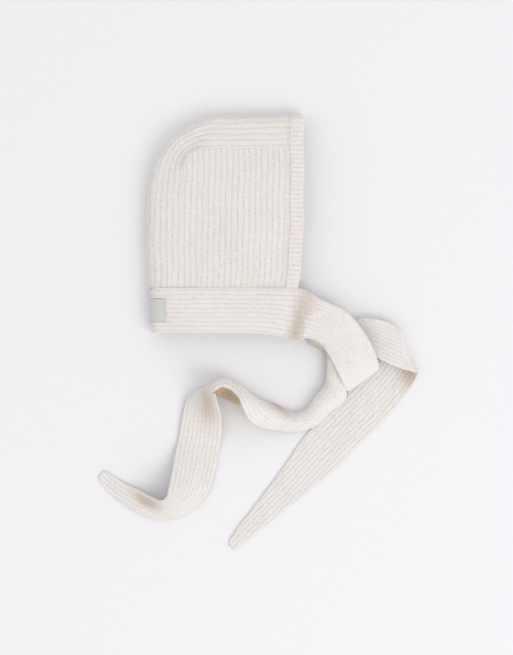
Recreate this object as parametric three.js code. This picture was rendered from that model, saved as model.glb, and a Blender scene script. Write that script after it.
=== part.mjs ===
// Knitted baby bonnet, lying on its side on a table with its two ties crossed in a half knot.
// Millimetres, +Z up. The hood's top layer faces up, its lower layer lies on the table.
import * as THREE from "three";

// The hood, measured lying flat
const hoodDepth = 175; // from the face edge back to the nape's fold
const crownRise = 197; // from the neck seam up to the crown's fold
const crownHalf = 38; // the crown panel, from its seam to the fold
const crownCorner = 86; // radius of the outline where the crown turns down to the nape
const seamCorner = 20; // radius of the side panel's upper back corner
const faceBandWidth = 15;
const cheekLean = 6; // how far the face edge draws back at the neck
const foldGap = 20; // between the middles of the two layers where they meet in a fold
const hoodRise = 6; // how much higher the top layer domes between its folds

// The neck band and the label folded round it
const neckBandHeight = 51;
const cheekDrop = 10; // how much deeper the neck band is at its front corner
const napeInset = 3; // the neck band's fold, in front of the hood's
const labelLength = 50; // both halves, round the fold
const labelHeight = 26;
const labelWall = 0.8;

// The ties
const tieWidth = 52;
const rightTieLength = 370; // free length from the knot to the tip
const leftTieLength = 422;
const knotReach = 48; // the knot's middle, in front of the face edge
const knotDrop = 41; // and below the middle of the neck band
const rootLength = 6; // the level start of a tie at the neck band's front corner

// The knitted cloth
const wall = 2.4;
const ribHeight = 0.7; // from a rib's valley to its crest
const seamGap = 0.3; // between two pieces that are sewn together
const panelRib = 6.6; // from one rib to the next
const crownRib = 7;
const neckRib = 5.1;
const faceRib = 5.1;
const tieRib = 5.2;

const rest = (wall + ribHeight) / 2; // height of the cloth's middle when it lies on the table
const foldRadius = foldGap / 2;

// Shallow dents of the top layer: where they lie and how far they reach, as shares of the hood's depth
// back from the face and of the crown's rise up from the neck, and their depth as a share of the dome.
const dents = [
  { back: 0.14, up: 0.1, reachBack: 0.12, reachUp: 0.2, depth: 0.55 },
  { back: 0.3, up: 0.78, reachBack: 0.2, reachUp: 0.08, depth: 0.35 },
  { back: 0.72, up: 0.3, reachBack: 0.1, reachUp: 0.25, depth: 0.3 },
];

// Sections across a tie, in order along it. x and y are the section's middle, away from the table's start
// point. lift is the height of its lowest edge above lying flat. side is the way the section runs, in
// degrees from +X seen from above, roll raises that side's edge, and curl bends the section into an arc of
// so many degrees. press flattens that arc, and width is its share of the tie's width.
// In the knot, x, y and lift are shares of the tie's width, from the middle of the knot.
const rightKnot = [
  { x: -0.675, y: 0.597, lift: 0.34, side: 70, roll: 0, curl: 40, press: 1, width: 0.92 },
  { x: -0.265, y: 0.409, lift: 0.345, side: 54, roll: 0, curl: 46, press: 1, width: 0.92 },
  { x: -0.011, y: 0.1, lift: 0.355, side: 38, roll: 0, curl: 40, press: 1, width: 0.94 },
  { x: 0.21, y: -0.3, lift: 0.375, side: 33, roll: 0, curl: 24, press: 1, width: 0.94 },
  { x: 0.323, y: -0.584, lift: 0.29, side: 34, roll: 0, curl: 8, press: 1, width: 0.93 },
  { x: 0.361, y: -0.706, lift: 0.19, side: 35, roll: 0, curl: 0, press: 1, width: 0.9 },
  { x: 0.327, y: -0.595, lift: 0.07, side: 34, roll: 0, curl: 0, press: 1, width: 0.78 },
  { x: 0.217, y: -0.308, lift: 0, side: 27, roll: 0, curl: 0, press: 1, width: 0.67 },
  { x: 0.13, y: -0.01, lift: 0.01, side: 2, roll: 0, curl: 0, press: 1, width: 0.58 },
  { x: 0.166, y: 0.21, lift: 0.02, side: -40, roll: 0, curl: 10, press: 1, width: 0.52 },
  { x: 0.354, y: 0.299, lift: 0.08, side: -78, roll: 0, curl: 30, press: 1, width: 0.6 },
];
const leftKnot = [
  { x: -0.752, y: 0.619, lift: 0.02, side: 66, roll: 0, curl: 70, press: 0.8, width: 0.92 },
  { x: -0.509, y: 0.453, lift: 0.05, side: 56, roll: 0, curl: 130, press: 0.7, width: 0.92 },
  { x: -0.276, y: 0.221, lift: 0.07, side: 38, roll: 0, curl: 200, press: 0.55, width: 0.92 },
  { x: -0.166, y: -0.044, lift: 0.08, side: 12, roll: 0, curl: 230, press: 0.5, width: 0.92 },
  { x: -0.17, y: -0.352, lift: 0.095, side: -12, roll: 0, curl: 245, press: 0.5, width: 0.92 },
  { x: -0.259, y: -0.673, lift: 0.07, side: -28, roll: 0, curl: 235, press: 0.55, width: 0.92 },
];
// Past the knot, x and y are shares of the tie's free length, from the knot's last section.
const rightFree = [
  { x: 0.034, y: -0.009, lift: 0.14, side: -93, roll: 0, curl: 34, press: 1, width: 0.78 },
  { x: 0.075, y: -0.022, lift: 0.18, side: -92, roll: 0, curl: 14, press: 1, width: 0.9 },
  { x: 0.112, y: -0.034, lift: 0.2, side: -82, roll: 0, curl: 4, press: 1, width: 0.97 },
  { x: 0.14, y: -0.047, lift: 0.185, side: -73, roll: 0, curl: 0, press: 1, width: 1 },
  { x: 0.153, y: -0.058, lift: 0.1, side: -66, roll: 0, curl: 0, press: 1, width: 1 },
  { x: 0.145, y: -0.075, lift: 0.02, side: -60, roll: 0, curl: 0, press: 1, width: 1 },
  { x: 0.121, y: -0.113, lift: 0, side: -53, roll: 0, curl: 0, press: 1, width: 1 },
  { x: 0.082, y: -0.165, lift: 0, side: -49, roll: 0, curl: 0, press: 1, width: 1 },
  { x: 0.031, y: -0.216, lift: 0, side: -46, roll: 0, curl: 0, press: 1, width: 1 },
  { x: -0.05, y: -0.295, lift: 0, side: -45, roll: 0, curl: 0, press: 1, width: 1 },
  { x: -0.131, y: -0.376, lift: 0, side: -47, roll: 0, curl: 0, press: 1, width: 0.97 },
  { x: -0.202, y: -0.454, lift: 0, side: -47, roll: 0, curl: 6, press: 1, width: 0.74 },
  { x: -0.261, y: -0.516, lift: 0, side: -45, roll: 0, curl: 8, press: 1, width: 0.58 },
  { x: -0.32, y: -0.577, lift: 0, side: -44, roll: 0, curl: 10, press: 1, width: 0.43 },
  { x: -0.364, y: -0.622, lift: 0, side: -43, roll: 0, curl: 10, press: 1, width: 0.31 },
  { x: -0.39, y: -0.651, lift: 0, side: -42, roll: 0, curl: 8, press: 1, width: 0.23 },
  { x: -0.402, y: -0.667, lift: 0, side: -42, roll: 0, curl: 0, press: 1, width: 0.16 },
];
const leftFree = [
  { x: -0.001, y: -0.036, lift: 0.05, side: -33, roll: -8, curl: 195, press: 0.75, width: 0.98 },
  { x: -0.029, y: -0.06, lift: 0.03, side: -42, roll: -20, curl: 195, press: 0.9, width: 1 },
  { x: -0.059, y: -0.093, lift: 0, side: -57, roll: -30, curl: 185, press: 1, width: 1 },
  { x: -0.098, y: -0.117, lift: 0, side: -74, roll: -26, curl: 170, press: 1, width: 1 },
  { x: -0.143, y: -0.115, lift: 0, side: -94, roll: 0, curl: 150, press: 1, width: 1 },
  { x: -0.181, y: -0.102, lift: 0, side: -114, roll: 24, curl: 110, press: 1, width: 1 },
  { x: -0.211, y: -0.08, lift: 0, side: -125, roll: 46, curl: 66, press: 1, width: 1 },
  { x: -0.238, y: -0.055, lift: 0, side: -124, roll: 60, curl: 30, press: 1, width: 1 },
  { x: -0.27, y: -0.029, lift: 0, side: -116, roll: 70, curl: 10, press: 1, width: 1 },
  { x: -0.305, y: -0.012, lift: 0, side: -88, roll: 74, curl: 6, press: 1, width: 1 },
  { x: -0.334, y: -0.024, lift: 0, side: -46, roll: 64, curl: 4, press: 1, width: 0.98 },
  { x: -0.35, y: -0.056, lift: 0, side: -16, roll: 46, curl: 0, press: 1, width: 0.95 },
  { x: -0.355, y: -0.098, lift: 0, side: -6, roll: 24, curl: 0, press: 1, width: 0.93 },
  { x: -0.361, y: -0.152, lift: 0, side: -4, roll: 6, curl: 0, press: 1, width: 0.93 },
  { x: -0.373, y: -0.209, lift: 0, side: -9, roll: -4, curl: 0, press: 1, width: 0.95 },
  { x: -0.39, y: -0.263, lift: 0, side: -14, roll: -16, curl: 4, press: 1, width: 0.96 },
  { x: -0.411, y: -0.306, lift: 0, side: -28, roll: -34, curl: 8, press: 1, width: 0.9 },
  { x: -0.439, y: -0.338, lift: 0, side: -55, roll: -46, curl: 10, press: 1, width: 0.8 },
  { x: -0.476, y: -0.349, lift: 0, side: -92, roll: -42, curl: 10, press: 1, width: 0.7 },
  { x: -0.513, y: -0.341, lift: 0, side: -114, roll: -28, curl: 8, press: 1, width: 0.58 },
  { x: -0.551, y: -0.322, lift: 0, side: -120, roll: -14, curl: 6, press: 1, width: 0.47 },
  { x: -0.588, y: -0.299, lift: 0, side: -123, roll: -4, curl: 4, press: 1, width: 0.36 },
  { x: -0.618, y: -0.277, lift: 0, side: -126, roll: 0, curl: 4, press: 1, width: 0.26 },
  { x: -0.634, y: -0.263, lift: 0, side: -128, roll: 0, curl: 0, press: 1, width: 0.17 },
];

const wool = (colour) => new THREE.MeshStandardMaterial({ color: colour, roughness: 0.95, metalness: 0 });
const panelWool = wool(0xe7e2de);
const bandWool = wool(0xede6e0);
const tieWool = wool(0xece7e2);
const labelCloth = wool(0xd4d5d0);

const degrees = THREE.MathUtils.degToRad;
const share = (index, count) => index / count;
const range = (count) => [...Array(count + 1).keys()]; // 0 to count

// A closed sheet of cloth: a grid of points on its middle, with walls front[column] and back[column] thick
// on either side of it and a strip closing its four edges.
function sheet(name, grid, front, back, material) {
  const rows = grid.length;
  const columns = grid[0].length;
  const clamp = THREE.MathUtils.clamp;
  const at = (row, column) => grid[clamp(row, 0, rows - 1)][clamp(column, 0, columns - 1)];
  const positions = [];
  for (const side of [1, -1]) {
    for (let row = 0; row < rows; row += 1) {
      for (let column = 0; column < columns; column += 1) {
        const along = at(row + 1, column).clone().sub(at(row - 1, column));
        const across = at(row, column + 1).clone().sub(at(row, column - 1));
        const normal = along.cross(across).normalize();
        const depth = side > 0 ? front(row, column) : -back(row, column);
        positions.push(...at(row, column).clone().addScaledVector(normal, depth).toArray());
      }
    }
  }
  const vertex = (side, row, column) => (side * rows + row) * columns + column;
  const faces = [];
  const quad = (a, b, c, d) => faces.push(a, b, c, a, c, d);
  for (let row = 0; row < rows - 1; row += 1) {
    for (let column = 0; column < columns - 1; column += 1) {
      for (const side of [0, 1]) {
        const near = vertex(side, row, column);
        const far = vertex(side, row + 1, column + 1);
        const ahead = vertex(side, row + 1, column);
        const beside = vertex(side, row, column + 1);
        if (side === 0) quad(near, ahead, far, beside);
        else quad(near, beside, far, ahead);
      }
    }
  }
  for (let row = 0; row < rows - 1; row += 1) {
    quad(vertex(0, row, 0), vertex(1, row, 0), vertex(1, row + 1, 0), vertex(0, row + 1, 0));
    const last = columns - 1;
    quad(vertex(0, row + 1, last), vertex(1, row + 1, last), vertex(1, row, last), vertex(0, row, last));
  }
  for (let column = 0; column < columns - 1; column += 1) {
    quad(vertex(0, 0, column + 1), vertex(1, 0, column + 1), vertex(1, 0, column), vertex(0, 0, column));
    const last = rows - 1;
    const next = column + 1;
    quad(vertex(0, last, column), vertex(1, last, column), vertex(1, last, next), vertex(0, last, next));
  }
  const geometry = new THREE.BufferGeometry();
  geometry.setAttribute("position", new THREE.Float32BufferAttribute(positions, 3));
  geometry.setIndex(faces);
  geometry.computeVertexNormals();
  const mesh = new THREE.Mesh(geometry, material);
  mesh.name = name;
  return mesh;
}

// Ribs: every second column stands out on the front and in on the back, so the wall stays as thick.
const ribWave = (column) => ribHeight * ((column % 2) - 0.5);
const ribbedFront = (row, column) => wall / 2 + ribWave(column);
const ribbedBack = (row, column) => wall / 2 - ribWave(column);
const ribColumns = (length, pitch) => 2 * Math.max(1, Math.round(length / pitch));

// A grid of points from a function of two shares, each from 0 to 1.
function grid(rows, columns, point) {
  const line = (row) => range(columns).map((column) => point(share(row, rows), share(column, columns)));
  return range(rows).map(line);
}

// The dome of the top layer over a place on the hood, less its dents.
function dome(back, up) {
  const reach = back / hoodDepth;
  const climb = (up + neckBandHeight) / (crownRise + neckBandHeight);
  const bulge = Math.max(0, 1 - (2 * reach - 1) ** 4) * Math.max(0, 1 - (2 * climb - 1) ** 4);
  let height = hoodRise * bulge;
  for (const dent of dents) {
    const awayBack = (reach - dent.back) / dent.reachBack;
    const awayUp = (up / crownRise - dent.up) / dent.reachUp;
    height -= hoodRise * dent.depth * bulge * Math.exp(-(awayBack ** 2) - awayUp ** 2);
  }
  return height;
}

// A place on the hood: back from the face edge, up from the neck seam, and 0 to foldGap above the
// lower layer.
function hoodPoint(back, up, height) {
  const low = THREE.MathUtils.clamp(1 - (2 * up) / crownRise, 0, 1);
  const lean = cheekLean * (1 - back / hoodDepth) * low ** 2;
  const rise = dome(back, up) * Math.max(0, height / foldGap);
  return new THREE.Vector3(-back - lean, up, rest + height + rise);
}

// Cloth folded in half: over the top leaf, round the fold and back along the lower leaf. It gives how far
// out from the leaf's open edge a length of the cloth has come, and its height between the two layers.
function folded(length, leaf, radius) {
  const turn = (length - leaf) / radius;
  if (turn <= 0) return { out: length, height: 2 * radius };
  if (turn >= Math.PI) return { out: leaf - radius * (turn - Math.PI), height: 0 };
  return { out: leaf + radius * Math.sin(turn), height: radius * (1 + Math.cos(turn)) };
}
const foldedLength = (leaf, radius) => 2 * leaf + Math.PI * radius;

// The side panel runs from the neck seam up to the crown seam, round the rounded upper back corner.
function sidePanel(name, height) {
  const start = faceBandWidth + seamGap;
  const end = hoodDepth - crownHalf - seamGap;
  const top = crownRise - crownHalf - seamGap;
  const corner = seamCorner - seamGap;
  const panelRows = 6;
  const columns = ribColumns(end - start, panelRib);
  const points = grid(panelRows, columns, (climb, reach) => {
    const back = start + (end - start) * reach;
    const past = Math.max(0, back - (end - corner));
    const edge = top - corner + Math.sqrt(Math.max(0, corner ** 2 - past ** 2));
    return hoodPoint(back, seamGap + (edge - seamGap) * climb, height);
  });
  const underside = height > 0 ? ribbedBack : () => rest;
  return sheet(name, points, ribbedFront, underside, panelWool);
}

// A line that follows the hood from the face band over the top, round the corner and down to the neck seam.
function crownLine(inset, corner, travel) {
  const stretch = Math.min(Math.floor(travel * 3), 2);
  const along = travel * 3 - stretch;
  const top = crownRise - inset;
  const rear = hoodDepth - inset;
  const front = faceBandWidth + seamGap;
  if (stretch === 0) return new THREE.Vector2(front + (rear - corner - front) * along, top);
  if (stretch === 2) return new THREE.Vector2(rear, seamGap + (top - corner - seamGap) * (1 - along));
  const turn = (along * Math.PI) / 2;
  return new THREE.Vector2(rear - corner + corner * Math.sin(turn), top - corner + corner * Math.cos(turn));
}

// The crown panel is folded along the hood's outline, with both its edges on the side panels' seams.
function crownPanel() {
  const columns = ribColumns(foldedLength(crownHalf - foldRadius, foldRadius), crownRib);
  const crownRows = 15;
  const points = grid(crownRows, columns, (travel, across) => {
    const seam = crownLine(crownHalf, seamCorner, travel);
    const outward = crownLine(0, crownCorner, travel).sub(seam);
    const leaf = outward.length() - foldRadius;
    const { out, height } = folded(foldedLength(leaf, foldRadius) * across, leaf, foldRadius);
    const place = seam.add(outward.setLength(out));
    return hoodPoint(place.x, place.y, height);
  });
  return sheet("crown_panel", points, ribbedFront, ribbedBack, panelWool);
}

// The face band runs up the top layer's face edge, round the crown's fold and down the lower layer's.
function faceBand() {
  const leaf = crownRise - seamGap - foldRadius;
  const length = foldedLength(leaf, foldRadius);
  const points = grid(1, ribColumns(length, faceRib), (reach, travel) => {
    const { out, height } = folded(length * travel, leaf, foldRadius);
    return hoodPoint(faceBandWidth * reach, seamGap + out, height);
  });
  return sheet("face_band", points, ribbedBack, ribbedFront, bandWool);
}

// The neck band's lower edge drops towards its front corners.
const bandDepth = (back) => neckBandHeight + cheekDrop * Math.max(0, 1 - (3 * back) / hoodDepth) ** 2;

// At the nape the neck band stands off the table by the label that is folded round it.
const labelSeat = labelWall + seamGap;
const seatEnd = hoodDepth - labelLength;
const napeLift = (back) => labelSeat * THREE.MathUtils.smoothstep(back, hoodDepth / 2, seatEnd);

// The collar's two leaves from the front corners back to the nape's fold, off it by some distance outward.
const collarStart = 2 * wall;
const collarLeaf = hoodDepth - napeInset - foldRadius - collarStart;
function collarPoint(length, up, offset) {
  const { out, height } = folded(length, collarLeaf, foldRadius + offset);
  const back = collarStart + out;
  const point = hoodPoint(back, up, height - offset);
  point.z += napeLift(back);
  return point;
}

function neckBand() {
  const columns = ribColumns(neckBandHeight, neckRib);
  const leafRows = 7;
  const turnRows = 6;
  const spots = [];
  for (let row = 0; row < leafRows; row += 1) spots.push(collarLeaf * share(row, leafRows));
  for (let row = 0; row <= turnRows; row += 1) {
    spots.push(collarLeaf + Math.PI * foldRadius * share(row, turnRows));
  }
  for (let row = 1; row <= leafRows; row += 1) {
    spots.push(collarLeaf + Math.PI * foldRadius + collarLeaf * share(row, leafRows));
  }
  const points = spots.map((spot) => {
    const { out } = folded(spot, collarLeaf, foldRadius);
    const depth = bandDepth(collarStart + out);
    return range(columns).map((column) => collarPoint(spot, -depth * share(column, columns), 0));
  });
  return sheet("neck_band", points, ribbedBack, ribbedFront, bandWool);
}

function label() {
  const offset = rest + seamGap + labelWall / 2;
  const middle = collarLeaf + (Math.PI * (foldRadius + offset)) / 2;
  const points = grid(10, 1, (along, down) => {
    const up = labelHeight * (0.5 - down) - neckBandHeight / 2;
    return collarPoint(middle + labelLength * (along - 0.5), up, offset);
  });
  return sheet("label", points, () => labelWall / 2, () => labelWall / 2, labelCloth);
}

// The points across one section of a tie, from the edge away from its side to the edge on its side.
function sectionPoints(section, ahead, columns) {
  const flatSide = new THREE.Vector3(Math.cos(degrees(section.side)), Math.sin(degrees(section.side)), 0);
  const side = flatSide.multiplyScalar(Math.cos(degrees(section.roll)));
  side.z = Math.sin(degrees(section.roll));
  const outward = ahead.clone().cross(side).normalize();
  const bend = degrees(Math.max(section.curl, 1));
  const radius = section.width / bend;
  const points = [];
  for (let column = 0; column <= columns; column += 1) {
    const angle = bend * (share(column, columns) - 0.5);
    const point = section.middle.clone().addScaledVector(side, radius * Math.sin(angle));
    points.push(point.addScaledVector(outward, radius * (Math.cos(angle) - 1) * section.press));
  }
  const lowest = Math.min(...points.map((point) => point.z));
  for (const point of points) point.z += rest + section.lift - lowest;
  return points;
}

// A tie's sections in millimetres: rows of a table placed from a start point.
function placed(rows, start, unit) {
  return rows.map((row) => {
    const lift = row.lift * tieWidth;
    const width = row.width * tieWidth;
    const raised = (width / 2) * Math.abs(Math.sin(degrees(row.roll)));
    const middle = new THREE.Vector3(start.x + row.x * unit, start.y + row.y * unit, lift + raised);
    return { ...row, middle, lift, width };
  });
}

// A tie starts at the neck band's front corner, on the top or the lower layer, and follows its two tables.
function tie(name, layer, knotRows, freeRows, freeLength) {
  const corner = hoodPoint(collarStart - seamGap, -bandDepth(collarStart) / 2, layer);
  const level = { lift: corner.z - rest, side: 90, roll: 0, curl: 0, press: 1, width: bandDepth(collarStart) };
  const root = { ...level, middle: corner };
  const start = { ...level, middle: corner.clone().setX(corner.x + rootLength) };
  const knot = { x: knotReach, y: -neckBandHeight / 2 - knotDrop };
  const inKnot = placed(knotRows, knot, tieWidth);
  const sections = [root, start, ...inKnot, ...placed(freeRows, inKnot.at(-1).middle, freeLength)];
  const path = new THREE.CatmullRomCurve3(sections.map((section) => section.middle));
  const columns = ribColumns(tieWidth, tieRib);
  const points = sections.map((section, row) => (
    sectionPoints(section, path.getTangent(share(row, sections.length - 1)), columns)
  ));
  const relief = (row, column) => ribWave(column) * Math.min(1, sections[row].width / tieWidth);
  const frontWall = (row, column) => wall / 2 + relief(row, column);
  const backWall = (row, column) => wall / 2 - relief(row, column);
  return sheet(name, points, frontWall, backWall, tieWool);
}

const bonnet = new THREE.Group();
bonnet.add(
  sidePanel("side_panel_upper", foldGap),
  sidePanel("side_panel_lower", 0),
  crownPanel(),
  faceBand(),
  neckBand(),
  label(),
  tie("tie_right", foldGap, rightKnot, rightFree, rightTieLength),
  tie("tie_left", 0, leftKnot, leftFree, leftTieLength),
);

// The origin is under the middle of the whole bonnet, on the table.
const extent = new THREE.Box3().setFromObject(bonnet);
const middle = extent.getCenter(new THREE.Vector3());
bonnet.position.set(-middle.x, -middle.y, -extent.min.z);
const part = new THREE.Group();
part.add(bonnet);

export default part;
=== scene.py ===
"""A knitted baby bonnet lying on its side, with its ties crossed in a half knot.

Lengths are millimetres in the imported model's frame until a mesh is made, which turns them into metres. Only
the table and the light are given in metres.
"""
import math

import bpy
import numpy as np
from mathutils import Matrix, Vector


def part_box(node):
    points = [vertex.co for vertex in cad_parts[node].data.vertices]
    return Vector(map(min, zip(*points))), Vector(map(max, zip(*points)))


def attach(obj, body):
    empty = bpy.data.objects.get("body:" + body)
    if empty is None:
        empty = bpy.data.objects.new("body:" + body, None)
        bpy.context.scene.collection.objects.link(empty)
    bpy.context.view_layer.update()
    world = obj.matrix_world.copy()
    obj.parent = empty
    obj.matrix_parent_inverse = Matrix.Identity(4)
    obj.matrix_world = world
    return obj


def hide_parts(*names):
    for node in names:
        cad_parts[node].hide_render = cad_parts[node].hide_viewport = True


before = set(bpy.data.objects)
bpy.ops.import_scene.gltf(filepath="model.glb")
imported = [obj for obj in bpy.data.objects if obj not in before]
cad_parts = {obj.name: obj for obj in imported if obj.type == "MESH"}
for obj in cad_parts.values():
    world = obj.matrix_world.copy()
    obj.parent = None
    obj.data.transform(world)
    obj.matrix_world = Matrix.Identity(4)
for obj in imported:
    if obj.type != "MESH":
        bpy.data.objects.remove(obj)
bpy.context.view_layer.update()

MM = 0.001

# The hood, as it is cut and laid
HOOD_DEPTH = 175.0
CROWN_RISE = 197.0
CROWN_HALF = 38.0
CROWN_CORNER = 86.0
SEAM_CORNER = 20.0
FACE_BAND = 15.0
CHEEK_LEAN = 6.0
FOLD_GAP = 20.0
FOLD_RADIUS = FOLD_GAP / 2
HOOD_RISE = 6.0
SEAM_GAP = 0.3

# How the laid hood strays from its cut: the top's sag and where it grows along the top, the nape's bulge, its
# height and reach, and the slow and quick waves of the outline sideways and up, with where they set in
TOP_SAG = 2.3
SAG_STRETCH = (30.0, 115.0)
NAPE_BULGE = 2.5
BULGE_UP = 45.0
BULGE_REACH = 60.0
SWAYS = (0.7, 0.4)
SWAY_STRETCH = (-10.0, 30.0)
LILTS = (0.6, 0.3)
LILT_STRETCH = (120.0, 190.0)
WAVE_HEIGHT = 0.5

# The neck band and the ties that carry it on
NECK_BAND = 51.0
CHEEK_DROP = 10.0
NAPE_INSET = 3.0
COLLAR_START = 4.8
TIE_WIDTH = 52.0
RIGHT_TIE = 370.0
LEFT_TIE = 422.0
KNOT_REACH = 48.0
KNOT_DROP = 41.0
ROOT_LENGTH = 6.0

# The label folded round the nape
LABEL_LENGTH = 50.0
LABEL_HEIGHT = 26.0
LABEL_WALL = 0.8
LABEL_RIM = 0.25
LABEL_GRID = (81, 41)

# The knit: WALL_REST is from the cloth's middle to a rib's crest, and ribs and stitches are cut down from it
WALL_REST = 1.55
RIB_DEPTH = 0.95
RIB_ROUNDNESS = 2.4
VALLEY_SOFTNESS = 0.012
STITCH = 4.0
STITCH_DEPTH = 0.3
STITCH_SLANT = 0.42
BEADING = 0.12
GROOVE_DEPTH = 0.26
GROOVE_REACH = 0.22
STRAYS = (0.04, 0.035)
PANEL_RIBS = 19
CROWN_RIBS = 14
STRAP_RIBS = 10
FACE_RIBS = 80

# The steps of the meshes, of which EDGE_STEPS are shares of half an edge's rounding
STEPS_A_RIB = 8
ROW_STEP = 1.0
EDGE_STEPS = (0.12, 0.32)
OUTLINE_STEPS = 1200

# Edges and seams: how far they reach, the share of the wall that each seam draws in, and the painted shade by
# them
EDGE_ROUND = 1.7
SEAM_ROUND = 1.2
FACE_SEAM = 0.5
NECK_SEAM = 0.45
CROWN_SEAM = 0.3
SEAM_SHADE = 3.5
SEAM_PAINTED_SHADE = 0.3

# The strip of ties and neck band: its joints, its tips, the curls in degrees between which it closes, and
# how its ribs run out towards the tips
STEADY_ROWS = 7
JOINT_REACH = 16
TUCK_ROWS = 2
TUCK_WALL = 0.94
TIP_ROUND = 6.0
TIP_BLUNT = 0.2
CURL_CLOSING = (60, 190)
# Painted glow on the back of a curled tie, standing in for light that comes through the cloth
INSIDE_PAINTED_GLOW = 2.1
FULL_WIDTH = 0.9
TAPER_STRETCH = (0.22, 0.32)

# The wool's colours, the painted shade in its rib valleys, folds and seams, the painted glow in its curls,
# and how strongly its marks show
PANEL_COLOUR = (0.93, 0.895, 0.87)
BAND_COLOUR = (0.945, 0.905, 0.875)
TIE_COLOUR = (0.955, 0.92, 0.89)
VALLEY_SHADE_AND_FLECK_COLOUR = (0.56, 0.49, 0.43)
PAINTED_SHADE_AND_MOTTLE_COLOUR = (0.64, 0.53, 0.435)
PAINTED_GLOW_COLOUR = (0.97, 0.82, 0.66)
LABEL_COLOUR = (0.69, 0.69, 0.66)
LABEL_SHADE = 0.86
VALLEY_PAINTED_SHADE = 0.42
GROOVE_PAINTED_SHADE = 0.15
LEAST_LINE = 0.3
VALLEY_REACH = (0.2, 0.5)
GROOVE_FADE = (0.12, 0.0)
PATCHES = (0.25, 0.7)
MOTTLING = 0.35
FLECKING = 0.65
STRANDS_A_STITCH = 4
STRAND_STRAY = 0.35
STRAND_HEIGHT = 0.16
FLUFF_HEIGHT = 1.3
PAINTED_GLOW_START = 0.9

# The table and the light in metres, and the camera, whose picture has the photograph's scale and places
TABLE_HALF = 3.0
TABLE_COLOUR = (0.862, 0.86, 0.873)
WINDOW_PLACE = (1.75, -1.5, 2.5)
WINDOW_SIZE = 1.8
WINDOW_POWER = 30
WINDOW_COLOUR = (1.0, 0.985, 0.96)
STUDIO_COLOUR = (0.99, 0.988, 1.0)
STUDIO_STRENGTH = 0.87
MM_A_PIXEL = 1.15
PICTURE_WIDTH = 513
PICTURE_HEIGHT = 655
FACE_EDGE_PIXEL = 303
NECK_SEAM_PIXEL = 288.3
LENS = 100
SENSOR = 36


def corner(node, side):
    """A node's lowest (side 0) or highest (side 1) corner, in millimetres."""
    return np.array(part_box(node)[side]) / MM


FACE_X = corner("face_band", 1)[0]
SEAM_Y = corner("side_panel_lower", 0)[1] - SEAM_GAP


def ramp(value, start, end):
    """0 before start, 1 after end, and an even S curve between them."""
    share = np.clip((value - start) / (end - start), 0, 1)
    return share * share * (3 - 2 * share)


def through(spots, values, at):
    """A smooth line through values at spots: a cubic between each two, with the slopes of its neighbours."""
    slopes = np.gradient(values, spots, axis=0)
    low = np.clip(np.searchsorted(spots, at, side="right") - 1, 0, len(spots) - 2)
    span = (spots[low + 1] - spots[low])
    share = (at - spots[low]) / span
    if values.ndim > 1:
        span, share = span[:, None], share[:, None]
    bend = share * share * (3 - 2 * share)
    leave = share * (1 - share) ** 2 * span
    arrive = share * share * (share - 1) * span
    between = values[low] * (1 - bend) + values[low + 1] * bend
    return between + slopes[low] * leave + slopes[low + 1] * arrive


# Meshes

def unit(vectors):
    """Vectors shortened to length 1."""
    return vectors / np.maximum(np.linalg.norm(vectors, axis=-1, keepdims=True), 1e-9)


def facing(middle):
    """The way a grid of points faces: the cross product of its steps along the rows and the columns."""
    return unit(np.cross(np.gradient(middle, axis=0), np.gradient(middle, axis=1)))


def relief(ribs, stitches):
    """The knit's height over its valleys, for counts of ribs across and stitches along.

    A rib is a round ridge, one less a power of how far off its middle a point is, with a soft valley that
    is beaded by the stitches. They are a wave along the rib whose phase slants away from its middle on both
    sides, so they make a column of Vs, and a shallow groove runs down the middle.
    """
    off = np.abs(ribs % 1 - 0.5) * 2
    off = np.minimum(1, off * (1 + BEADING * np.cos(2 * np.pi * stitches)))
    ridge = np.sqrt((1 - off ** RIB_ROUNDNESS) ** 2 + VALLEY_SOFTNESS)
    legs = 0.5 + 0.5 * np.cos(2 * np.pi * (stitches + STITCH_SLANT * off))
    groove = np.exp(-(off / GROOVE_REACH) ** 2)
    return ridge * (RIB_DEPTH - STITCH_DEPTH * (1 - legs)) - GROOVE_DEPTH * groove * ridge


def wander(ribs, stitches):
    """How far hand-laid ribs stray from their count: two slow waves, under a tenth of a rib."""
    slow = np.sin(0.55 * stitches + 1.9 * ribs)
    slower = np.sin(0.23 * stitches - 0.8 * ribs + 1.7)
    return STRAYS[0] * slow + STRAYS[1] * slower


def rounding(away):
    """How thick the cloth still is at a distance from its edge, as a quarter circle's rise from 0 to 1."""
    share = np.clip(away / EDGE_ROUND, 0, 1)
    return np.sqrt(1 - (1 - share) ** 2)


def seam(away, depth):
    """How thick the cloth still is at a distance from a seam, which draws it in by a share of its wall."""
    share = np.clip(away / SEAM_ROUND, 0, 1)
    return 1 - depth * (1 - np.sqrt(1 - (1 - share) ** 2))


def seam_shade(*distances):
    """Painted shade by the seams, where the cloth lies deep: a bell curve of its distance from each of them.
    """
    return SEAM_PAINTED_SHADE * sum(np.exp(-(away / SEAM_SHADE) ** 2) for away in distances)


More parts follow.
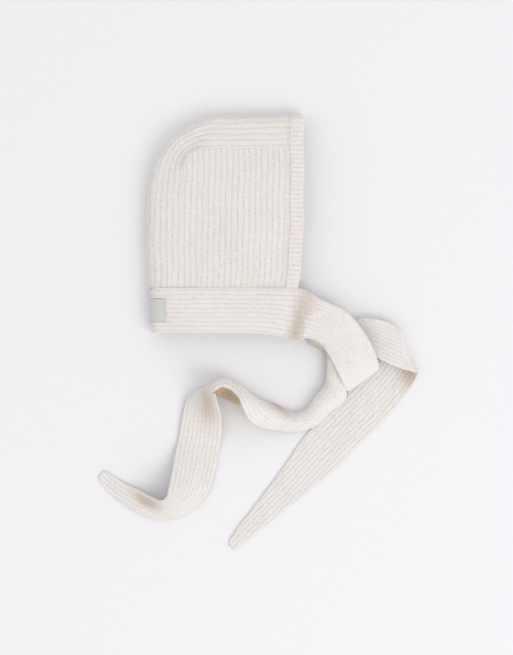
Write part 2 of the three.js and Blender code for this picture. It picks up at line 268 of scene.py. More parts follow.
def shell(name, front, back, knit, marks, cut, material, node):
    """A smooth closed sheet from its front and back grids, with the knit's counts as its UV map.

    marks are its point attributes, each a value for every point of the front and then of the back. cut
    says which borders (first row, last row, first column, last column) are cut off square and get a strip of
    their own. At the others, front and back share their points. A quad of such a strip whose corners fall
    together becomes a triangle.
    """
    rows, columns = front.shape[:2]
    over = np.arange(rows * columns).reshape(rows, columns)
    whole = slice(None)
    borders = ((0, whole), (-1, whole), (whole, 0), (whole, -1))
    shared = np.zeros((rows, columns), dtype=bool)
    for border, is_cut in zip(borders, cut):
        if not is_cut:
            shared[border] = True
    under = np.where(shared, over, over + rows * columns)

    def patch(index):
        near, far = index[:-1], index[1:]
        return np.stack([near[:, :-1], far[:, :-1], far[:, 1:], near[:, 1:]], axis=-1).reshape(-1, 4)

    quads = [patch(over), patch(under)[:, ::-1]]
    for border, is_cut, turned in zip(borders, cut, (False, True, True, False)):
        if is_cut:
            upper_line, lower_line = over[border], under[border]
            strip = np.stack([upper_line[1:], lower_line[1:], lower_line[:-1], upper_line[:-1]], axis=-1)
            quads.append(strip[:, ::-1] if turned else strip)
    smooth_faces = len(quads[0]) + len(quads[1])
    quads = np.concatenate(quads)
    kept = quads != np.roll(quads, 1, axis=1)
    corners = quads[kept]
    totals = kept.sum(axis=1)
    used, corners = np.unique(corners, return_inverse=True)
    points = np.concatenate([front.reshape(-1, 3), back.reshape(-1, 3)])[used]

    mesh = bpy.data.meshes.new(name)
    mesh.vertices.add(len(points))
    mesh.vertices.foreach_set("co", (points * MM).astype(np.float32).ravel())
    mesh.loops.add(len(corners))
    mesh.loops.foreach_set("vertex_index", corners.astype(np.int32))
    mesh.polygons.add(len(totals))
    mesh.polygons.foreach_set("loop_start", (np.cumsum(totals) - totals).astype(np.int32))
    mesh.update(calc_edges=True)
    mesh.polygons.foreach_set("use_smooth", np.arange(len(totals)) < smooth_faces)
    layer = mesh.uv_layers.new(name="knit")
    layer.data.foreach_set("uv", knit[used][corners].astype(np.float32).ravel())
    for mark, values in marks.items():
        attribute = mesh.attributes.new(mark, "FLOAT", "POINT")
        attribute.data.foreach_set("value", values[used].astype(np.float32))
    mesh.validate()
    mesh.materials.append(material)
    piece = bpy.data.objects.new(name, mesh)
    bpy.context.scene.collection.objects.link(piece)
    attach(piece, "root")
    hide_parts(node)
    return piece


UNCUT = (False, False, False, False)
ALL_CUT = (True, True, True, True)


def cloth(name, middle, ribs, stitches, edge, material, node,
          normals=None, cut=UNCUT, tight=1.0, fold=0.0, inside=0.0):
    """A closed ribbed cloth round a grid of middle points.

    The front is the middle moved along its normal by the wall and the knit's relief, and the back is moved
    the other way with its ribs in the front's valleys. Both moves shrink towards the edges. tight is the
    share of the relief that is left where the cloth is pulled, fold is the painted shade laid on it in a fold
    or by a seam, and inside is how much more of that its back has, turning to a painted glow.
    """
    normals = facing(middle) if normals is None else normals
    strayed = ribs + wander(ribs, stitches) * np.minimum(1, np.minimum(ribs, ribs.max() - ribs))
    base = WALL_REST - RIB_DEPTH * tight
    front_relief = relief(strayed, stitches)
    back_relief = relief(strayed + 0.5, stitches + 0.25)
    front = middle + normals * (edge * (base + tight * front_relief))[..., None]
    back = middle - normals * (edge * (base + tight * back_relief))[..., None]
    knit = np.stack([strayed, stitches], axis=-1).reshape(-1, 2)
    knit = np.concatenate([knit, knit + [0.5, 0.25]])
    spread = np.zeros_like(front_relief)
    # deep carries the painted shade of folds and seams, and slack the share of relief that the painted valley
    # shade follows
    marks = {
        "deep": np.concatenate([(spread + fold).ravel(), (spread + fold + inside).ravel()]),
        "slack": np.tile((spread + tight).ravel(), 2),
    }
    return shell(name, front, back, knit, marks, cut, material, node)


def closer_at_ends(even, length):
    """Even shares along a length, with two more close to each end for its rounding."""
    close = np.array(EDGE_STEPS) * EDGE_ROUND / 2 / length
    return np.unique(np.concatenate([even, close, 1 - close]))


def across_shares(ribs, width):
    """Shares across a cloth: even steps for its ribs, closer at both edges."""
    return closer_at_ends(np.linspace(0, 1, ribs * STEPS_A_RIB + 1), width)


def along_shares(length):
    """Shares along a cloth, a row step apart, closer at both ends."""
    return closer_at_ends(np.linspace(0, 1, int(length / ROW_STEP) + 1), length)


# The hood

DENTS = (
    # back, up, reach back, reach up, depth: shares of the hood's depth, crown's rise and dome
    (0.14, 0.10, 0.12, 0.20, 0.55),
    (0.30, 0.78, 0.20, 0.08, 0.35),
    (0.72, 0.30, 0.10, 0.25, 0.30),
)


def flat_bulge(share):
    """0 at both ends of a span and 1 in its middle, with a flat top: one less a fourth power."""
    return np.maximum(0, 1 - (2 * share - 1) ** 4)


def dome(back, up):
    """How far the top layer stands over its folds: a flat bulge both ways, less round dents, with waves.

    Each dent is a bell curve. The waves are a product of two sines and one more at a slant.
    """
    reach = back / HOOD_DEPTH
    climb = (up + NECK_BAND) / (CROWN_RISE + NECK_BAND)
    bulge = flat_bulge(reach) * flat_bulge(climb)
    height = HOOD_RISE * bulge
    for dent_back, dent_up, reach_back, reach_up, depth in DENTS:
        away = ((reach - dent_back) / reach_back) ** 2 + ((up / CROWN_RISE - dent_up) / reach_up) ** 2
        height = height - HOOD_RISE * depth * bulge * np.exp(-away)
    waves = np.sin(reach * 11 + 2.1 * climb) * np.sin(climb * 9 + 1.3)
    waves = waves + 0.6 * np.sin(reach * 23 - climb * 5)
    return height + WAVE_HEIGHT * bulge * waves


def hood_place(back, up, height):
    """A place on the hood: back from the face edge, up from the neck seam, and so far over the lower layer.

    The face edge draws back towards the neck, the top sags towards the back, the nape bulges a little, and
    slow waves keep the outline from running dead straight.
    """
    reach = back / HOOD_DEPTH
    climb = np.clip(up / CROWN_RISE, 0, 1)
    lean = CHEEK_LEAN * (1 - reach) * np.clip(1 - 2 * climb, 0, 1) ** 2
    sag = TOP_SAG * ramp(back, *SAG_STRETCH) * climb ** 2
    bulge = NAPE_BULGE * reach ** 2 * np.exp(-((up - BULGE_UP) / BULGE_REACH) ** 2)
    sway = SWAYS[0] * np.sin(up / 21 + 0.8) * (0.3 + 0.7 * reach) + SWAYS[1] * np.sin(up / 9.5)
    lilt = LILTS[0] * np.sin(back / 17 + 2.0) + LILTS[1] * np.sin(back / 7.3)
    over = np.maximum(0, height / FOLD_GAP)
    x = FACE_X - back - lean - bulge + sway * ramp(up, *SWAY_STRETCH)
    y = SEAM_Y + up - sag + lilt * ramp(up, *LILT_STRETCH)
    z = WALL_REST + height + dome(back, up) * over
    return np.stack([x, y, z], axis=-1)


def folded(length, leaf, radius):
    """Cloth folded in half, as out from its open edge and height: a leaf, a half circle and a leaf back."""
    turn = np.clip((length - leaf) / radius, 0, math.pi)
    back_again = np.maximum(0, length - leaf - math.pi * radius)
    out = np.minimum(length, leaf) + radius * np.sin(turn) - back_again
    return out, radius * (1 + np.cos(turn))


def side_panel(name, node, height, material):
    """A side panel: ribs run up it, and its top edge turns down round the upper back corner."""
    end = HOOD_DEPTH - CROWN_HALF
    top = CROWN_RISE - CROWN_HALF
    across = across_shares(PANEL_RIBS, end - FACE_BAND)
    along = along_shares(top)
    climb, reach = np.meshgrid(along, across, indexing="ij")
    back = FACE_BAND + (end - FACE_BAND) * reach
    past = np.clip(back - (end - SEAM_CORNER), 0, SEAM_CORNER)
    edge_up = top - SEAM_CORNER + np.sqrt(SEAM_CORNER ** 2 - past ** 2)
    up = edge_up * climb
    middle = hood_place(back, up, np.full_like(back, height))
    edge = seam(back - FACE_BAND, FACE_SEAM) * seam(up, NECK_SEAM) * seam(edge_up - up, CROWN_SEAM)
    # The last rib ends on its crest, where the crown's first one goes on
    ribs = reach * (PANEL_RIBS - 0.5)
    shade = seam_shade(back - FACE_BAND, up)
    return cloth(
        name, middle, ribs, up / STITCH, edge, material, node, cut=ALL_CUT, fold=shade,
    )


def crown_line(inset, corner_radius, travel):
    """A line along the hood's outline: over the top, round a quarter circle and down to the neck seam."""
    stretch = np.minimum(np.floor(travel * 3), 2)
    along = travel * 3 - stretch
    top = CROWN_RISE - inset
    rear = HOOD_DEPTH - inset
    front = FACE_BAND
    turn = along * math.pi / 2
    back = np.select(
        [stretch == 0, stretch == 1],
        [front + (rear - corner_radius - front) * along, rear - corner_radius + corner_radius * np.sin(turn)],
        rear,
    )
    up = np.select(
        [stretch == 0, stretch == 1],
        [top, top - corner_radius + corner_radius * np.cos(turn)],
        (top - corner_radius) * (1 - along),
    )
    return np.stack([back, up], axis=-1)


def even_travel():
    """Travels along the crown whose places lie evenly apart, and their distances from the face.

    The line between the crown's two edges is measured at fine steps, and its length is shared out evenly.
    """
    fine = np.linspace(0, 1, OUTLINE_STEPS)
    line = crown_line(CROWN_HALF / 2, (CROWN_CORNER + SEAM_CORNER) / 2, fine)
    steps = np.linalg.norm(np.diff(line, axis=0), axis=1)
    length = np.concatenate([[0], np.cumsum(steps)])
    shares = along_shares(length[-1])
    return np.interp(shares * length[-1], length, fine), shares * length[-1]


def crown_panel(name, node, material):
    """The crown: a strip folded along the outline, both edges on the side panels' seams, ribs along it."""
    travel, distance = even_travel()
    across = across_shares(CROWN_RIBS, 2 * CROWN_HALF + (math.pi - 2) * FOLD_RADIUS)
    inner = crown_line(CROWN_HALF, SEAM_CORNER, travel)
    outward = crown_line(0, CROWN_CORNER, travel) - inner
    reach = np.linalg.norm(outward, axis=1)
    leaf = (reach - FOLD_RADIUS)[:, None]
    whole = 2 * leaf + math.pi * FOLD_RADIUS
    length = whole * across[None, :]
    out, height = folded(length, leaf, FOLD_RADIUS)
    place = inner[:, None, :] + (outward / reach[:, None])[:, None, :] * out[..., None]
    middle = hood_place(place[..., 0], place[..., 1], height)
    from_face = distance[:, None]
    from_neck = (distance[-1] - distance)[:, None]
    edge = np.broadcast_to(seam(from_face, FACE_SEAM) * seam(from_neck, NECK_SEAM), length.shape)
    ribs = np.broadcast_to(0.5 + across * (CROWN_RIBS - 1), length.shape)
    stitches = np.broadcast_to((distance / STITCH)[:, None], length.shape)
    flip = (slice(None), slice(None, None, -1))
    shade = np.broadcast_to(seam_shade(from_face, from_neck), length.shape)
    return cloth(
        name, middle[flip], ribs[flip], stitches, edge[flip], material, node, cut=ALL_CUT,
        fold=shade[flip],
    )


def face_band(name, node, material):
    """The band round the face opening: up the top layer, round the crown's fold and down the lower layer."""
    leaf = CROWN_RISE - FOLD_RADIUS
    whole = 2 * leaf + math.pi * FOLD_RADIUS
    across = across_shares(FACE_RIBS, whole)
    along = along_shares(FACE_BAND)
    reach, travel = np.meshgrid(along, across, indexing="ij")
    out, height = folded(whole * travel, leaf, FOLD_RADIUS)
    back = FACE_BAND * reach
    middle = hood_place(back, out, height)
    from_neck = np.minimum(travel, 1 - travel) * whole
    edge = rounding(back) * seam(FACE_BAND - back, FACE_SEAM) * seam(from_neck, NECK_SEAM)
    ribs = travel * FACE_RIBS
    flip = slice(None, None, -1)
    return cloth(
        name, middle[flip], ribs[flip], (back / STITCH)[flip], edge[flip], material, node,
        cut=(True, False, True, True),
    )


# The long strip: one tie, the neck band and the other tie, knitted in one length

# Sections across a tie: x, y, lift, side, roll, curl, press, width. x and y are the place of its crest, from
# the knot's middle. lift is its lowest edge over lying flat. side is the way it runs in degrees from +X, roll
# raises that side's edge, curl bends it to an arc of so many degrees, press flattens the arc, and width is
# its share of the tie's width. lift is such a share too, and so are x and y in the knot.
RIGHT_KNOT = (
    (-0.675, 0.597, 0.34, 70, 0, 40, 1, 0.92),
    (-0.265, 0.409, 0.345, 54, 0, 46, 1, 0.92),
    (-0.011, 0.1, 0.355, 38, 0, 40, 1, 0.94),
    (0.21, -0.3, 0.375, 33, 0, 24, 1, 0.94),
    (0.34, -0.6, 0.29, 34, 0, 8, 1, 0.91),
    (0.395, -0.74, 0.19, 36, 0, 0, 1, 0.85),
    (0.345, -0.61, 0.07, 34, 0, 0, 1, 0.76),
    (0.217, -0.308, 0, 27, 0, 0, 1, 0.67),
    (0.13, -0.01, 0.01, 2, 0, 0, 1, 0.58),
    (0.166, 0.21, 0.02, -40, 0, 10, 1, 0.52),
    (0.354, 0.299, 0.08, -78, 0, 30, 1, 0.6),
)
LEFT_KNOT = (
    (-0.752, 0.619, 0.02, 66, 0, 70, 0.8, 0.92),
    (-0.57, 0.36, 0.05, 56, 0, 130, 0.7, 0.92),
    (-0.35, 0.14, 0.07, 38, 0, 200, 0.55, 0.92),
    (-0.19, -0.07, 0.08, 12, 0, 230, 0.5, 0.92),
    (-0.17, -0.36, 0.095, -12, 0, 245, 0.5, 0.92),
    (-0.2, -0.68, 0.07, -27, 0, 235, 0.6, 0.9),
)
# Past the knot, x and y are shares of the tie's free length, from the crest of the knot's last section.
RIGHT_FREE = (
    (0.034, -0.012, 0.14, -91, 0, 34, 1, 0.8),
    (0.075, -0.028, 0.18, -90, 0, 14, 1, 0.9),
    (0.111, -0.043, 0.2, -85, 0, 4, 1, 0.94),
    (0.138, -0.056, 0.185, -75, 0, 0, 1, 0.95),
    (0.147, -0.064, 0.1, -66, 0, 0, 1, 0.97),
    (0.138, -0.078, 0.02, -60, 0, 0, 1, 0.97),
    (0.115, -0.11, 0, -53, 0, 0, 1, 0.97),
    (0.076, -0.161, 0, -49, 0, 0, 1, 0.98),
    (0.028, -0.214, 0, -46, 0, 0, 1, 1),
    (-0.052, -0.294, 0, -45, 0, 0, 1, 1),
    (-0.131, -0.376, 0, -47, 0, 0, 1, 0.97),
    (-0.202, -0.454, 0, -47, 0, 6, 1, 0.76),
    (-0.261, -0.516, 0, -45, 0, 8, 1, 0.6),
    (-0.32, -0.577, 0, -44, 0, 10, 1, 0.46),
    (-0.364, -0.622, 0, -43, 0, 10, 1, 0.35),
    (-0.39, -0.651, 0, -42, 0, 8, 1, 0.28),
    (-0.402, -0.667, 0, -42, 0, 0, 1, 0.24),
)
LEFT_FREE = (
    (-0.002, -0.037, 0.05, -36, 0, 222, 0.8, 1.02),
    (-0.038, -0.077, 0.03, -42, 0, 236, 0.85, 0.9),
    (-0.064, -0.107, 0, -54, 0, 248, 0.85, 0.84),
    (-0.106, -0.12, 0, -77, 4, 240, 0.9, 0.82),
    (-0.15, -0.101, 0, -92, 18, 205, 1, 0.94),
    (-0.188, -0.081, 0, -105, 44, 180, 1, 1),
    (-0.218, -0.058, 0, -118, 78, 172, 1, 1),
    (-0.245, -0.035, 0, -125, 108, 192, 1, 1),
    (-0.277, -0.013, 0, -112, 116, 204, 1, 1),
    (-0.316, -0.005, 0, -88, 115, 194, 1, 1),
    (-0.35, -0.021, 0, -50, 92, 128, 1, 0.98),
    (-0.361, -0.06, 0, -16, 48, 26, 1, 0.95),
    (-0.363, -0.1, 0, -6, 24, 0, 1, 0.93),
    (-0.368, -0.152, 0, -4, 6, 0, 1, 0.93),
    (-0.378, -0.209, 0, -9, -4, 0, 1, 0.95),
    (-0.388, -0.263, 0, -12, -14, 4, 1, 0.95),
    (-0.402, -0.308, 0, -18, -28, 8, 1, 0.94),
    (-0.427, -0.345, 0, -42, -44, 10, 1, 0.86),
    (-0.47, -0.36, 0, -86, -46, 10, 1, 0.68),
    (-0.512, -0.35, 0, -108, -30, 8, 1, 0.55),
    (-0.552, -0.33, 0, -118, -14, 6, 1, 0.47),
    (-0.59, -0.307, 0, -122, -4, 4, 1, 0.39),
    (-0.62, -0.283, 0, -126, 0, 4, 1, 0.32),
    (-0.64, -0.264, 0, -128, 0, 0, 1, 0.27),
)


def band_depth(back):
    """The neck band's depth, which grows over the front third towards its front corners."""
    return NECK_BAND + CHEEK_DROP * np.clip(1 - 3 * back / HOOD_DEPTH, 0, 1) ** 2


def nape_lift(back):
    """At the nape the neck band stands off the table by the label that is folded round it."""
    return (LABEL_WALL + SEAM_GAP) * ramp(back, HOOD_DEPTH / 2, HOOD_DEPTH - LABEL_LENGTH)


COLLAR_LEAF = HOOD_DEPTH - NAPE_INSET - FOLD_RADIUS - COLLAR_START
COLLAR_LENGTH = 2 * COLLAR_LEAF + math.pi * FOLD_RADIUS


def collar_place(length, up, offset):
    """A place on the folded neck band, off its middle by some distance outward."""
    out, height = folded(length, COLLAR_LEAF, FOLD_RADIUS + offset)
    back = COLLAR_START + out
    place = hood_place(back, up, height - offset)
    place[..., 2] += nape_lift(back)
    return place


def strip_shares():
    """Shares across the strip, the same all the way along it."""
    return across_shares(STRAP_RIBS, TIE_WIDTH)


def collar_rows():
    """The neck band's middle, from the lower front corner round the nape to the top one."""
    length = np.linspace(COLLAR_LENGTH, 0, int(COLLAR_LENGTH / ROW_STEP))[:, None]
    out, _ = folded(length, COLLAR_LEAF, FOLD_RADIUS)
    up = -band_depth(COLLAR_START + out) * strip_shares()[None, :]
    return collar_place(np.broadcast_to(length, up.shape), up, 0.0)


def sections(layer, knot_rows, free_rows, free_length):
    """A tie's sections in millimetres, from its level root at the neck band's front corner to its tip."""
    width = float(band_depth(np.array(COLLAR_START)))
    root = hood_place(np.array(COLLAR_START), np.array(-width / 2), np.array(layer))
    # A level root's side, roll, curl, press and width
    level = [90, 0, 0, 1, width]
    rows = [[root[0] + step, root[1], root[2] - WALL_REST, *level] for step in (0, ROOT_LENGTH)]
    knot = np.array(knot_rows, dtype=float)
    knot[:, :3] *= TIE_WIDTH
    knot[:, 7] *= TIE_WIDTH
    knot[:, 0] += FACE_X + KNOT_REACH
    knot[:, 1] += SEAM_Y - NECK_BAND / 2 - KNOT_DROP
    free = np.array(free_rows, dtype=float)
    free[:, :2] = free[:, :2] * free_length + knot[-1, :2]
    free[:, 2] *= TIE_WIDTH
    free[:, 7] *= TIE_WIDTH
    return np.concatenate([rows, knot, free])


def steady(height, reach):
    """A height along a strip that never falls below the given one: its highest near by, then evened out."""
    offsets = np.arange(-reach, reach + 1)
    spread = np.pad(height, reach, mode="edge")
    highest = np.max([spread[reach + step:reach + step + len(height)] for step in offsets], axis=0)
    weights = 1 + np.cos(np.pi * offsets / (reach + 1))
    return np.convolve(np.pad(highest, reach, mode="edge"), weights / weights.sum(), mode="valid")


def tie_rows(rows):
    """A tie's middle, with each row's distance from its root, its place in the table and how curled it is.

    The middle is made of arcs across the tie, carried along a smooth line through its sections. A section's
    arc lies in the plane of its side and the way it faces. Its points lie sideways by the radius times the
    sine of their angle, and back from its crest by the radius times one less the cosine. Each section is
    then raised until its lowest point is its lift over lying flat. The tip is rounded by a quarter circle.
    """
    raised = rows[:, 2] + rows[:, 7] / 2 * np.abs(np.sin(np.radians(rows[:, 4])))
    way = np.column_stack([rows[:, :2], raised])
    spots = np.concatenate([[0], np.cumsum(np.linalg.norm(np.diff(way, axis=0), axis=1))])
    at = np.linspace(0, spots[-1], int(spots[-1] / ROW_STEP) + 1)
    x, y, lift, side, roll, curl, press, width = through(spots, rows, at).T
    width = width * np.sqrt(1 - (1 - np.clip((spots[-1] - at) / TIP_ROUND, TIP_BLUNT, 1)) ** 2)
    curled = ramp(curl, *CURL_CLOSING)
    ahead = np.gradient(through(spots, way, at), axis=0)
    side, roll = np.radians(side), np.radians(roll)
    curl = np.radians(np.maximum(curl, 1))
    sideways = np.column_stack([np.cos(side) * np.cos(roll), np.sin(side) * np.cos(roll), np.sin(roll)])
    outward = unit(np.cross(ahead, sideways))
    radius = (width / curl)[:, None, None]
    angle = (curl[:, None] * (0.5 - strip_shares()))[..., None]
    middle = np.column_stack([x, y, np.zeros_like(x)])[:, None, :]
    middle = middle + sideways[:, None, :] * radius * np.sin(angle)
    middle = middle + outward[:, None, :] * radius * (np.cos(angle) - 1) * press[:, None, None]
    middle[..., 2] += WALL_REST + lift[:, None] + steady(-middle[..., 2].min(axis=1), STEADY_ROWS)[:, None]
    return middle, at, np.interp(at, spots, np.arange(len(rows))), curled


def evened(middle, joint):
    """The strip with the rows near a joint drawn towards their neighbours' average, so that no kink shows.

    The average is weighted by a raised cosine, and the share of it falls off in an S curve on both sides.
    """
    reach = JOINT_REACH // 2
    weights = 1 + np.cos(np.pi * np.arange(-reach, reach + 1) / (reach + 1))
    weights /= weights.sum()
    window = slice(joint - 3 * reach, joint + 3 * reach + 1)
    around = middle[joint - 4 * reach:joint + 4 * reach + 1]
    average = sum(weight * around[step:step + 6 * reach + 1] for step, weight in enumerate(weights))
    away = np.abs(np.arange(-3 * reach, 3 * reach + 1))
    share = (1 - ramp(away, reach, 3 * reach))[:, None, None]
    middle = middle.copy()
    middle[window] = middle[window] * (1 - share) + average * share
    return middle


def pinch(distance, across, table):
    """How far the strip is pressed in and how much painted shade it gets in a fold, from a table of round
    dents.

    A dent is a bell curve round its place along and across the strip, whose place along shifts with the
    way across where the dent runs at a slant.
    """
    pressed = np.zeros((len(distance), len(across)))
    fold = np.zeros_like(pressed)
    for middle, slant, share, reach_along, reach_across, depth, shade_paint in table:
        along = (distance[:, None] - middle - slant * (across[None, :] - 0.5)) / reach_along
        bell = np.exp(-along ** 2 - ((across[None, :] - share) / reach_across) ** 2)
        pressed += depth * bell
        fold += shade_paint * bell
    return pressed, fold


# Dents of the strip: their distance along a tie from its root, how much that shifts from one edge to the
# other, their place across as a share, both reaches, the depth, and the painted shade there, a painted glow
# when strong.
RIGHT_DENTS = (
    (6.0, -16.0, 0.6, 9.5, 1.4, 6.0, 0.65),
    (262.0, 0.0, 0.15, 15.0, 0.3, 0.0, 0.9),
)
LEFT_DENTS = (
    (60.0, 0.0, 1.0, 30.0, 0.2, 0.0, 1.4),
    (190.0, 8.0, 0.68, 18.0, 0.16, 5.0, 0.0),
    (194.0, 8.0, 0.68, 17.0, 0.17, 0.0, 0.95),
    (322.0, 0.0, 0.32, 24.0, 0.28, 1.5, 0.8),
    (484.0, 6.0, 0.72, 19.0, 0.26, 3.0, 1.1),
)


# Stretches where a tie is pulled: the sections where the pull sets in, is full, eases and is over, counted
# from its root, and the share of the relief that it takes
RIGHT_PULLS = ((1.5, 3, 9, 12, 0.8), (11, 13, 16, 19, 0.3))
LEFT_PULLS = ((3, 5, 12, 15, 0.5),)


def relief_left(place, pulls):
    """The share of its relief that a tie keeps at each section: all, less a smooth hump for each pull."""
    kept = np.ones_like(place)
    for start, full, easing, over, share in pulls:
        kept = kept - share * ramp(place, start, full) * (1 - ramp(place, easing, over))
    return kept


def strip_ribs(across, width, from_end, whole):
    """Counts of ribs across the strip, of which the outer ones run out at its edges where a tie tapers.

    The count is drawn in round the middle by the width's share of a full one, so that the other ribs keep
    their width. The drawing in sets in smoothly on both sides of the strip's middle stretch.
    """
    taper = np.minimum(1, width / TIE_WIDTH / FULL_WIDTH)
    rise = ramp(whole / 2 - from_end, whole * TAPER_STRETCH[0], whole * TAPER_STRETCH[1])
    taper = 1 + (taper - 1) * rise
    return STRAP_RIBS * (0.5 + (across[None, :] - 0.5) * taper[:, None])


def knitted_strip(materials):
    """One length of knit cut in three at the front corners: the left tie, the neck band and the right tie.

    Its points, normals and counts of stitches are worked out over the whole length, so that ribs and
    stitches run on from piece to piece.
    """
    across = strip_shares()
    left, left_along, left_place, left_curled = tie_rows(sections(0.0, LEFT_KNOT, LEFT_FREE, LEFT_TIE))
    right, right_along, right_place, _ = tie_rows(sections(FOLD_GAP, RIGHT_KNOT, RIGHT_FREE, RIGHT_TIE))
    collar = collar_rows()
    before = -np.arange(len(collar) - 1, 0, -1) * ROW_STEP
    left = left + (collar[0] - left[0]) * (1 - ramp(left_along, 0, JOINT_REACH))[:, None, None]
    right = right + (collar[-1] - right[0]) * (1 - ramp(right_along, 0, JOINT_REACH))[:, None, None]
    middle = np.concatenate([left[:0:-1], collar, right[1:]])
    left_pressed, left_painted_shade = pinch(left_along[:0:-1], across, LEFT_DENTS)
    right_pressed, right_painted_shade = pinch(np.concatenate([before, right_along]), across, RIGHT_DENTS)
    pressed = np.concatenate([left_pressed, right_pressed])
    fold = np.concatenate([left_painted_shade, right_painted_shade])
    middle[..., 2] = np.maximum(middle[..., 2] - pressed, WALL_REST)
    joints = (0, len(left) - 1, len(left) + len(collar) - 2, len(middle) - 1)
    for joint in joints[1:-1]:
        middle = evened(middle, joint)
    normals = facing(middle)
    tight = np.ones(len(middle))
    tight[-len(right):] = relief_left(right_place, RIGHT_PULLS)
    tight[:len(left)] = relief_left(left_place, LEFT_PULLS)[::-1]
    # The back of the left tie gets a painted glow where it curls
    inside = np.zeros_like(middle[..., 0])
    inside[:len(left)] = INSIDE_PAINTED_GLOW * left_curled[::-1, None]

    centre = middle[:, len(across) // 2]
    distance = np.concatenate([[0], np.cumsum(np.linalg.norm(np.diff(centre, axis=0), axis=1))])
    width = np.linalg.norm(np.diff(middle, axis=1), axis=-1).sum(axis=1)
    from_side = np.minimum(across, 1 - across)[None, :] * width[:, None]
    from_end = np.minimum(distance, distance[-1] - distance)[:, None]
    edge = rounding(from_side) * rounding(from_end)
    ribs = strip_ribs(across, width, from_end[:, 0], distance[-1])
    stitches = np.broadcast_to((distance / STITCH)[:, None], ribs.shape)
    pieces = []
    names = (("tie_left", "tie_wool"), ("neck_band", "band_wool"), ("tie_right", "tie_wool"))
    for (node, slot), start, end in zip(names, joints[:-1], joints[1:]):
        # The neck band goes on a little under both ties, so that no light falls through the joints
        tuck = TUCK_ROWS if node == "neck_band" else 0
        part = slice(start - tuck, end + 1 + tuck)
        cut = (start > 0, end < len(middle) - 1, False, False)
        row = np.arange(start - tuck, end + 1 + tuck)
        held = np.where((row < start) | (row > end), TUCK_WALL, 1.0)[:, None]
        pieces.append(cloth(
            node + "_knit", middle[part], ribs[part], stitches[part], edge[part] * held,
            materials[slot], node, normals[part], cut, tight[part][:, None], fold[part], inside[part],
        ))
    return pieces


def label(name, node, material):
    """The label: a thin tape folded round the neck band at the nape, with its rims thinned to an edge."""
    offset = WALL_REST + SEAM_GAP + LABEL_WALL / 2
    middle_length = COLLAR_LEAF + math.pi * (FOLD_RADIUS + offset) / 2
    along, down = np.meshgrid(*(np.linspace(0, 1, count) for count in LABEL_GRID), indexing="ij")
    length = middle_length + LABEL_LENGTH * (along - 0.5)
    up = LABEL_HEIGHT * (0.5 - down) - NECK_BAND / 2
    middle = collar_place(length, up, offset)
    normals = facing(middle)
    from_side = np.minimum(along, 1 - along) * LABEL_LENGTH
    from_end = np.minimum(down, 1 - down) * LABEL_HEIGHT
    half = LABEL_WALL / 2 * np.minimum(1, np.minimum(from_side, from_end) / LABEL_RIM)
    threads = np.stack([along * LABEL_LENGTH, down * LABEL_HEIGHT], axis=-1).reshape(-1, 2)
    step = normals * half[..., None]
    return shell(
        name, middle + step, middle - step, np.tile(threads, (2, 1)), {}, UNCUT, material, node
    )


# Materials

def set_sockets(node, **values):
    """Values on a node's own sockets, named with underscores for spaces."""
    for name, value in values.items():
        node.inputs[name.replace("_", " ")].default_value = value


